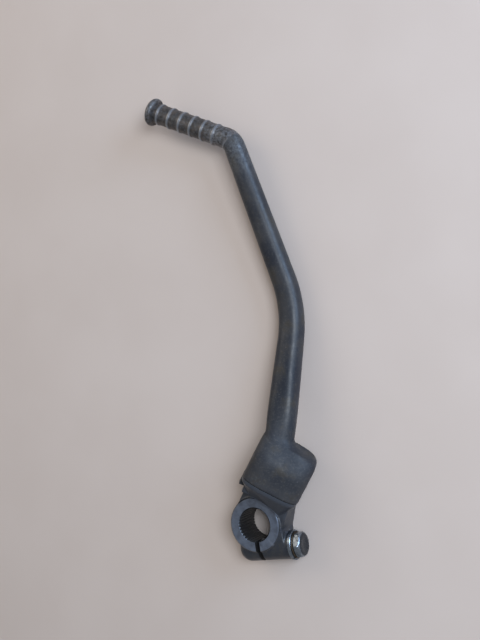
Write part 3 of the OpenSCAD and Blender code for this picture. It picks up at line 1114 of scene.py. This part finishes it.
    def shank_rings(self) -> list[np.ndarray]:
        """Draws the arm from the block's fillet to where the peg begins.

        Returns:
            Rings along the shank and round its two bends.
        """
        root, elbow, bend = (np.array(p) for p in (self.root, self.elbow, LEVER.bend))
        start = self.leg_at(self.high + self.root_fillet)
        rings = []
        for t in np.linspace(0, 1, 25)[1:]:
            rings.append(
                section(
                    start + self.leg_way * self.turn_run * t,
                    unit(mix(UP, self.leg_way, min(1.0, 2 * float(t)))),
                    unit(mix(LEVER.face, np.array(self.arm_face), float(t))),
                    mix(self.neck_half_w, self.half_w, float(t)),
                    self.half_t,
                    self.arm_square,
                )
            )
        first = self.corner(root, elbow, bend, self.elbow_radius, 28)
        second = self.corner(elbow, bend, bend + LEVER.peg_way * LEVER.peg_len, self.bend_radius, 22)
        straight = [(mix(first[-1][0], second[0][0], k / 14), first[-1][1]) for k in range(1, 14)]
        for spot, way in first + straight + second:
            t = min(1.0, float(np.linalg.norm(spot - start) / np.linalg.norm(bend - start)))
            half_w, half_t = mix(self.half_w, self.end_r, t), mix(self.half_t, self.end_r, t)
            rings.append(section(spot, way, self.arm_face, half_w, half_t, mix(self.arm_square, 2, t)))
        return rings

    def peg_profile(self) -> list[tuple[float, float]]:
        """Lists reach and radius along the peg, with its ribs and its rolled head.

        Returns:
            The pairs, from the bend to the head's hollow.
        """
        w = math.acos(float(unit(np.array(self.elbow) - np.array(LEVER.bend)) @ LEVER.peg_way))
        start = self.bend_radius / math.tan(w / 2) + self.bend_clear
        profile = []
        for x in np.arange(start, LEVER.peg_neck - 0.4, self.peg_step):
            r = mix(self.end_r, LEVER.peg_r, min(1.0, (x - start) / self.peg_settle))
            for k in range(self.rib_count):
                off = abs(x - (self.rib_first + self.rib_pitch * k)) / self.rib_half
                if off < 1:
                    r += LEVER.rib_rise * (1 - off * off) ** 1.5
            profile.append((float(x), float(r)))
        roll = LEVER.head_t / 2
        for turn in np.linspace(-90, 90, 21):
            c, s = cos_sin(turn)
            profile.append((LEVER.peg_neck + roll + roll * s, LEVER.head_r - roll + roll * c))
        profile.append((LEVER.peg_len - 0.25, LEVER.head_r - roll - self.hollow_rim))
        profile.append((LEVER.peg_len - self.hollow_depth, self.hollow_r))
        return profile

    def build(self, finishes: Finishes) -> None:
        """Builds and dresses the forging and its stop lug.

        Args:
            finishes: Finishes of the lever.
        """
        shaft = self.bore_rings() + self.block_rings() + self.shank_rings()
        way = LEVER.peg_way
        peg = [section(LEVER.bend + way * x, way, self.arm_face, r, r, 2) for x, r in self.peg_profile()]
        made = Bench.skin("arm_forging", shaft + peg)
        Bench.dress(made, self.crease, Body.ARM, Slot.ARM, (finishes.black, finishes.peg))
        edge = (len(shaft) - self.peg_lap) * SIDES
        for polygon in made.data.polygons:
            if min(polygon.vertices) >= edge:
                polygon.material_index = 1
        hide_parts("kick_arm")
        self.build_lug(finishes)

    def build_lug(self, finishes: Finishes) -> None:
        """Builds the stop lug that runs in the boss's recess.

        Args:
            finishes: Finishes of the lever.
        """
        turns = (LEVER.lug_middle - LEVER.lug_turn / 2, LEVER.lug_middle + LEVER.lug_turn / 2)
        heights = (LEVER.lug_floor + self.lug_fit, self.low + self.lug_overlap)
        made = Bench.sector("stop_lug", turns, (self.lug_r, self.lug_reach), heights)
        rounding = made.modifiers.new("edge", "BEVEL")
        rounding.width = self.lug_edge * MM
        rounding.segments = 3
        rounding.limit_method = "ANGLE"
        rounding.angle_limit = math.radians(self.crease)
        Bench.apply(made)
        Bench.dress(made, self.crease, Body.ARM, Slot.ARM, (finishes.black,))


@dataclass
class ClampBoss:
    """The forged clamp boss: faced ring with a toothed bore, split ears, neck and hinge stud."""

    ring_chamfer: float = 0.7
    facing_clear: float = 0.2
    spline_count: int = 36
    spline_half_turn: float = 1.83
    mouth_chamfer: float = 0.6
    ear_r: float = 7.0
    seat_edge: float = 1.6
    thread_ear: float = 13.4
    thread_edge: float = 5.8
    thread_wall: float = 3.0
    head_inset: float = 0.2
    shoulder_h: float = 1.2
    rise_side: float = 0.6
    rise_foot: float = 0.76
    waist_drop: float = 3.7
    waist_reach: float = 11.8
    flank_inset: float = 0.4
    flank_foot: float = 0.2
    stop_gap_turn: float = 1.2
    unfold_turn: float = 95.0
    ledge_h: float = 3.4
    ledge_lap: float = 0.5
    ledge_r: float = 15.2
    recess_r: float = 10.5
    stud_r: float = 7.0
    stud_len: float = 16.0
    stud_root: float = 0.5
    stud_chamfer: float = 1.0
    pin_groove: tuple[float, float] = (12.0, 2.05)
    seal_groove: tuple[float, float] = (4.0, 0.85)
    groove_r: float = 5.25
    ball_hole_r: float = 2.5
    ball_path_r: float = 10.2
    ball_turn: float = 300.0
    ball_hole: float = 10.5
    seat_run: float = 6.0
    seat_low: float = -30.0
    seat_top: float = -4.5
    seat_half: float = 12.0
    slot_low: float = -27.72
    slot_top: float = 0.5
    slot_half: float = 20.0
    trim_reach: float = 40.0
    trim_back: float = -30.0
    trim_run: float = 8.0
    front_run: float = 14.0
    overrun: float = 4.0
    spare: float = 1.5
    slab: float = 0.6
    foot_slab: float = 0.5
    grain: float = 0.3
    soft_rounds: int = 30
    crease: float = 35.0

    def __post_init__(self) -> None:
        """Works out where the ring's chamfer begins and how far the recess runs."""
        self.face_z = LEVER.half_len - self.ring_chamfer
        half = LEVER.lug_turn / 2 + self.stop_gap_turn
        self.recess_turns = (LEVER.lug_middle + half + self.unfold_turn, LEVER.lug_middle - half)

    def box(self, low: Sequence[float], high: Sequence[float]) -> np.ndarray:
        """Returns the corners of a box in the frame."""
        return np.array(list(product(*zip(low, high))), float)

    def clamp_box(self, name: str, low: Sequence[float], high: Sequence[float]) -> Piece:
        """Makes a box whose first side runs along the pinch bolt."""
        turn = np.array([LEVER.bolt_way, LEVER.slot_way, ALONG])
        return Bench.hull(name, self.box(low, high) @ turn)

    def ring_slab(self, half_x: float, y: float) -> np.ndarray:
        """Returns the corners of a thin slab across the ring at a height."""
        return self.box((-half_x, y, -self.face_z), (half_x, y + self.foot_slab, self.face_z))

    def head_outline(self, y: float, reach: float | None = None) -> np.ndarray:
        """Draws the outline of the boss's head, which follows the arm's block.

        Args:
            y: Height of the outline.
            reach: Where given, the outline stays inside this X and inside the ring's side and face.

        Returns:
            The ring of points.
        """
        half_w, half_t = LEVER.half_w - self.head_inset, LEVER.half_t - self.head_inset
        ring = section(LEVER.block_centre(y), UP, LEVER.face, half_w, half_t, LEVER.block_square, 144)
        if reach is not None:
            ring[:, 0] = np.clip(ring[:, 0], -LEVER.ring_r, reach)
            ring[:, 2] = np.minimum(ring[:, 2], self.face_z)
        return ring

    def head_slab(self, top: float, reach: float | None = None) -> np.ndarray:
        """Returns the head's outlines at the two faces of a thin slab."""
        return np.vstack([self.head_outline(top - self.slab, reach), self.head_outline(top, reach)])

    def clamp_parts(self) -> list[Piece]:
        """Makes the ring and the ears with the web between them.

        Returns:
            Closed parts that overlap.
        """
        edge, ring_end = self.thread_edge, LEVER.half_len + self.spare
        profile = []
        for turn in np.linspace(90, 0, 9):
            c, s = cos_sin(turn)
            profile.append((edge * (1 - s) - self.thread_ear, self.ear_r - edge * (1 - c)))
        profile.append((LEVER.head_ear + self.spare, self.ear_r))
        web_low = (edge - self.thread_ear, -LEVER.bolt_drop, -self.ear_r)
        web_high = (LEVER.head_ear - self.seat_edge, 0.0, self.ear_r)
        return [
            Bench.lathe("ring", ORIGIN, ALONG, [(-ring_end, LEVER.ring_r), (ring_end, LEVER.ring_r)]),
            Bench.lathe("ears", LEVER.bolt_foot, LEVER.bolt_way, profile),
            self.clamp_box("web", web_low, web_high),
        ]

    def neck_parts(self) -> list[Piece]:
        """Makes the neck, the head and the ledge under the stop recess.

        Returns:
            Closed parts that overlap.
        """
        head = LEVER.parting_y - self.shoulder_h
        waist = LEVER.parting_y - self.waist_drop
        rise_foot = self.ring_slab(LEVER.ring_r * self.rise_side, LEVER.ring_r * self.rise_foot)
        flank_foot = self.ring_slab(LEVER.ring_r - self.flank_inset, LEVER.ring_r * self.flank_foot)
        lower, upper = self.head_outline(head - self.slab), self.head_outline(LEVER.parting_y + self.spare)
        ledge_heights = (LEVER.lug_floor - self.ledge_h, LEVER.lug_floor + self.ledge_lap)
        ledge = Bench.sector("ledge", self.recess_turns, (self.stud_r, self.ledge_r), ledge_heights)
        for vertex in ledge.data.vertices:
            vertex.co.z = max(vertex.co.z, -self.face_z * MM)
        return [
            Bench.hull("rise", self.head_slab(head), rise_foot),
            Bench.hull("flank", self.head_slab(waist, self.waist_reach), flank_foot),
            Bench.hull("head", lower, upper),
            ledge,
        ]

    def bore_tool(self) -> Piece:
        """Makes the tool that cuts the toothed bore and its chamfered mouths.

        Returns:
            The closed tool.
        """
        step, tip = 360 / self.spline_count, LEVER.bore_r
        tooth = (
            (-self.spline_half_turn, tip),
            (0.0, tip + LEVER.spline_depth),
            (self.spline_half_turn, tip),
            (step / 2, tip),
        )
        teeth = [(math.radians(i * step + off), r) for i in range(self.spline_count) for off, r in tooth]
        a, r = np.array(teeth).T
        half, mouth = LEVER.half_len, tip + self.mouth_chamfer
        levels = (
            (-half - self.overrun, mouth),
            (-half, mouth),
            (self.mouth_chamfer - half, 0.0),
            (half - self.mouth_chamfer, 0.0),
            (half, mouth),
            (half + self.overrun, mouth),
        )
        rings = []
        for z, least in levels:
            wide = np.maximum(r, least)
            rings.append(np.column_stack([wide * np.cos(a), wide * np.sin(a), np.full(len(a), z)]))
        return Bench.skin("bore_tool", rings)

    def tools(self) -> list[Piece]:
        """Makes every tool that cuts the melted body.

        Returns:
            The closed tools.
        """
        half, clear = LEVER.half_len, LEVER.ring_r + self.facing_clear
        edge = self.ring_chamfer + self.facing_clear
        facing = [(half, 0.01), (half, clear - edge), (half - edge, clear)]
        c, s = cos_sin(self.ball_turn)
        ball = LEVER.hinge_at(LEVER.parting_y - self.ball_hole) + np.array([c, 0.0, s]) * self.ball_path_r
        ball_hole = [(h, self.ball_hole_r) for h in (0.0, self.ball_hole + self.overrun)]
        bolt_ends = (self.thread_wall - self.thread_ear, LEVER.head_ear + self.trim_run)
        bolt_hole = [(h, LEVER.bolt_hole_r) for h in bolt_ends]
        recess_radii = (self.recess_r, self.recess_r + LEVER.block_left)
        recess_heights = (LEVER.lug_floor, LEVER.parting_y + self.overrun)
        top_low = (-self.trim_reach, LEVER.parting_y, self.trim_back)
        top_high = (self.trim_reach, LEVER.parting_y + self.trim_run, self.trim_reach)
        seat_low = (LEVER.head_ear, self.seat_low, -self.seat_half)
        seat_high = (LEVER.head_ear + self.seat_run, self.seat_top, self.seat_half)
        slot_low = (-LEVER.slot_w / 2, self.slot_low, -self.slot_half)
        slot_high = (LEVER.slot_w / 2, self.slot_top, self.slot_half)
        return [
            Bench.lathe("front_facing", ORIGIN, ALONG, facing + [(half + self.front_run, clear)]),
            Bench.lathe("back_facing", ORIGIN, -ALONG, facing + [(half + self.overrun, clear)]),
            Bench.hull("top_trim", self.box(top_low, top_high)),
            self.clamp_box("seat_trim", seat_low, seat_high),
            self.clamp_box("slot", slot_low, slot_high),
            self.bore_tool(),
            Bench.lathe("bolt_hole", LEVER.bolt_foot, LEVER.bolt_way, bolt_hole, 64),
            Bench.sector("recess", self.recess_turns, recess_radii, recess_heights),
            Bench.lathe("ball_hole", ball, UP, ball_hole, 48),
        ]

    def stud(self) -> Piece:
        """Makes the hinge stud with its two grooves.

        Returns:
            The closed stud.
        """
        profile = [(LEVER.ring_r - self.stud_root, self.stud_r)]
        for middle, half in (self.seal_groove, self.pin_groove):
            low, high = LEVER.parting_y + middle - half, LEVER.parting_y + middle + half
            profile += [(low, self.stud_r), (low, self.groove_r), (high, self.groove_r), (high, self.stud_r)]
        end = LEVER.parting_y + self.stud_len
        profile += [(end - self.stud_chamfer, self.stud_r), (end, self.stud_r - self.stud_chamfer)]
        return Bench.lathe("stud", LEVER.hinge_at(0.0), UP, profile)

    def build(self, finishes: Finishes) -> None:
        """Builds and dresses the boss.

        Args:
            finishes: Finishes of the lever.
        """
        parts = self.clamp_parts() + self.neck_parts()
        made = Bench.melt("boss_forging", parts, self.grain, self.soft_rounds)
        Bench.combine(made, self.tools(), "DIFFERENCE")
        Bench.combine(made, [self.stud()], "UNION")
        Bench.dress(made, self.crease, Body.BOSS, Slot.BOSS, (finishes.boss,))
        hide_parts("clamp_boss")


@dataclass
class PinchBolt:
    """The pinch bolt with its split spring washer and its thin flat washer."""

    tip: float = -9.9
    tip_chamfer: float = 0.8
    shank_r: float = 4.0
    head_af: float = 12.0
    head_sides: int = 144
    corner_cut: float = 0.12
    corner_grip: float = 8.0
    bolt_crease: float = 28.0
    spring_r: float = 7.6
    spring_rise: float = 0.25
    spring_edge: float = 0.22
    split: float = 1.2
    split_turn: float = 235.0
    flat_r: float = 6.8
    flat_sides: int = 120
    washer_crease: float = 30.0

    def ring(self, h: float, angles: np.ndarray, radii: np.ndarray | float) -> np.ndarray:
        """Returns points round the bolt at a height along it, turned from the back towards the bore."""
        rim = np.outer(radii * np.cos(angles), -ALONG) + np.outer(radii * np.sin(angles), LEVER.slot_way)
        return LEVER.bolt_foot + LEVER.bolt_way * h + rim

    def build_bolt(self, finishes: Finishes) -> None:
        """Builds the bolt: a hexagon whose corners are turned off, on a plain shank.

        Args:
            finishes: Finishes of the lever.
        """
        a = around(self.head_sides)
        sixth, flat, grip = math.pi / 6, self.head_af / 2, self.corner_grip
        off = np.abs((a + sixth) % (2 * sixth) - sixth)
        corner = flat / math.cos(sixth) - self.corner_cut
        hexagon = flat / np.cos(sixth - off)
        hexagon = -np.log(np.exp(-grip * hexagon) + np.exp(-grip * corner)) / grip
        foot, top = LEVER.head_foot, LEVER.bolt_head_h
        rings = [self.ring(self.tip, a, self.shank_r - self.tip_chamfer)]
        rings += [self.ring(h, a, self.shank_r) for h in (self.tip + self.tip_chamfer, foot)]
        for h, limit in (
            (0.0, flat - 0.5),
            (0.25, flat - 0.4),
            (0.25, flat + 0.2),
            (0.55, flat + 0.95),
            (1.6, flat + 0.95),
            (top - 1.5, flat + 0.85),
            (top - 1.1, flat + 0.5),
            (top - 0.8, flat + 0.2),
            (top - 0.5, flat - 0.15),
            (top - 0.25, flat - 0.45),
            (top - 0.08, flat - 0.8),
            (top, flat - 1.3),
            (top, flat - 2.6),
            (top - 0.12, flat - 3.1),
            (top - 0.12, 0.6),
        ):
            rings.append(self.ring(foot + h, a, np.minimum(hexagon, limit)))
        made = Bench.skin("hex_bolt", rings)
        Bench.dress(made, self.bolt_crease, Body.BOSS, Slot.ZINC, (finishes.zinc,))
        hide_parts("pinch_bolt")

    def build_spring_washer(self, finishes: Finishes) -> None:
        """Builds the spring washer: a square wire that rises a little from end to end.

        Args:
            finishes: Finishes of the lever.
        """
        gap = math.degrees(self.split / 2 / self.spring_r)
        turns = np.radians(np.linspace(self.split_turn + gap, self.split_turn + 360 - gap, 121))
        wire, e = LEVER.spring_t - self.spring_rise, self.spring_edge
        inner, outer = LEVER.bolt_hole_r, self.spring_r
        corners = (
            (inner + e, 0.0),
            (outer - e, 0.0),
            (outer, e),
            (outer, wire - e),
            (outer - e, wire),
            (inner + e, wire),
            (inner, wire - e),
            (inner, e),
        )
        rings = []
        for turn, rise in zip(turns, np.linspace(0, self.spring_rise, len(turns))):
            seat = LEVER.head_ear + rise
            rings.append(np.vstack([self.ring(seat + h, np.array([turn]), r) for r, h in corners]))
        made = Bench.skin("split_washer", rings)
        Bench.dress(made, self.washer_crease, Body.BOSS, Slot.ZINC, (finishes.zinc,))
        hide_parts("spring_washer")

    def build_flat_washer(self, finishes: Finishes) -> None:
        """Builds the flat washer with its rounded rim.

        Args:
            finishes: Finishes of the lever.
        """
        thick, inner, outer = LEVER.flat_t, LEVER.bolt_hole_r, self.flat_r
        profile = (
            (0.0, inner),
            (0.0, outer - 0.25),
            (0.1, outer - 0.07),
            (0.25, outer),
            (thick - 0.25, outer),
            (thick - 0.1, outer - 0.07),
            (thick, outer - 0.25),
            (thick, inner),
        )
        a, low = around(self.flat_sides), LEVER.head_foot - thick
        made = Bench.skin("thin_washer", [self.ring(low + h, a, r) for h, r in profile], loop=True)
        Bench.dress(made, self.washer_crease, Body.BOSS, Slot.DULL, (finishes.dull,))
        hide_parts("flat_washer")

    def build(self, finishes: Finishes) -> None:
        """Builds and dresses the bolt and both washers.

        Args:
            finishes: Finishes of the lever.
        """
        self.build_bolt(finishes)
        self.build_spring_washer(finishes)
        self.build_flat_washer(finishes)


class CarriedOver:
    """CAD nodes whose shape is right: they keep it and get their finish."""

    def dress(self, finishes: Finishes) -> None:
        """Gives each node its finish.

        Args:
            finishes: Finishes of the lever.
        """
        table = {
            "retaining_pin": finishes.dull,
            "seal_ring": finishes.seal,
            "detent_ball": finishes.bright,
            "detent_spring": finishes.bright,
        }
        for name, finish in table.items():
            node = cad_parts[name]
            node.data.materials.clear()
            node.data.materials.append(finish)
            LOG.info("node %s keeps its CAD shape, finish %s", name, finish.name)


@dataclass(frozen=True)
class Lamp:
    """A square soft lamp, in metres and watts."""

    name: str
    offset: Triple
    size: float
    watts: float
    colour: Colour

    def build(self, target: Point) -> None:
        """Sets the lamp off from its target and turns it to look there.

        Args:
            target: The point it looks at.
        """
        data = bpy.data.lights.new(self.name, "AREA")
        data.size = self.size
        data.energy = self.watts
        data.color = self.colour
        made = bpy.data.objects.new(self.name, data)
        made.location = Vector(target + self.offset)
        made.rotation_mode = "QUATERNION"
        made.rotation_quaternion = (Vector(target) - Vector(target + self.offset)).to_track_quat("-Z", "Y")
        bpy.context.scene.collection.objects.link(made)


@dataclass
class Studio:
    """Camera at the photograph's angle, soft lamps and a plain pale floor."""

    eye_mm: Triple = (144.82, 202.12, 438.05)
    right: Triple = (0.7736, 0.4192, -0.4752)
    top: Triple = (-0.4798, 0.8773, -0.0072)
    back: Triple = (0.4139, 0.2336, 0.8799)
    lens: float = 53.44
    middle: Triple = (-0.04, 0.08, 0.0)
    lamps: tuple[Lamp, ...] = (
        Lamp("front_lamp", (0.44, 0.42, 0.76), 0.4, 7.6, (0.78, 0.88, 1.0)),
        Lamp("window_lamp", (0.5, 0.78, 0.3), 0.5, 8.0, (0.5, 0.7, 1.0)),
        Lamp("warm_lamp", (-0.7, 0.1, 0.5), 0.6, 1.8, (1.0, 0.9, 0.76)),
    )
    world_colour: Colour = (0.93, 0.96, 1.0)
    world_strength: float = 0.3
    floor_reach: float = 3.0
    floor_colour: Colour = (0.535, 0.445, 0.392)
    floor_pale: Colour = (0.555, 0.465, 0.412)

    def build(self) -> None:
        """Builds the camera, the lamps, the world and the floor."""
        self.build_camera()
        for lamp in self.lamps:
            lamp.build(np.array(self.middle))
        self.build_world()
        self.build_floor()

    def build_camera(self) -> None:
        """Places the camera."""
        data = bpy.data.cameras.new("camera")
        data.sensor_fit = "AUTO"
        data.sensor_width = 36.0
        data.lens = self.lens
        data.clip_start = 0.01
        data.clip_end = 20.0
        camera = bpy.data.objects.new("camera", data)
        axes = Matrix((self.right, self.top, self.back)).transposed().to_4x4()
        camera.matrix_world = Matrix.Translation(Vector(self.eye_mm) * MM) @ axes
        bpy.context.scene.collection.objects.link(camera)
        bpy.context.scene.camera = camera

    def build_world(self) -> None:
        """Sets the even light of the world and the plain view."""
        world = bpy.data.worlds.new("studio")
        world.use_nodes = True
        shade = world.node_tree.nodes["Background"]
        shade.inputs["Color"].default_value = (*self.world_colour, 1.0)
        shade.inputs["Strength"].default_value = self.world_strength
        bpy.context.scene.world = world
        bpy.context.scene.view_settings.view_transform = "Standard"

    def build_floor(self) -> None:
        """Lays the pale floor under the lever's lowest point."""
        low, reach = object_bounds()[0].z, self.floor_reach
        corners = [(-reach, -reach, low), (reach, -reach, low), (reach, reach, low), (-reach, reach, low)]
        floor = Bench.piece("floor", np.array(corners) / MM, [[0, 1, 2, 3]])
        pen = Sketch("floor_paper")
        tone = pen.blend(pen.spots(60.0, 3.0, 0.5, 0.3, 0.7), self.floor_colour, self.floor_pale)
        floor.data.materials.append(pen.finish(tone, 0.9, 0.0))
        floor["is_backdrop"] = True


def main() -> None:
    """Builds the whole scene in order."""
    logging.basicConfig(level=logging.INFO, format="%(name)s: %(message)s")
    finishes = Finishes()
    ArmForging().build(finishes)
    ClampBoss().build(finishes)
    PinchBolt().build(finishes)
    CarriedOver().dress(finishes)
    Studio().build()


if __name__ == "__main__":
    main()
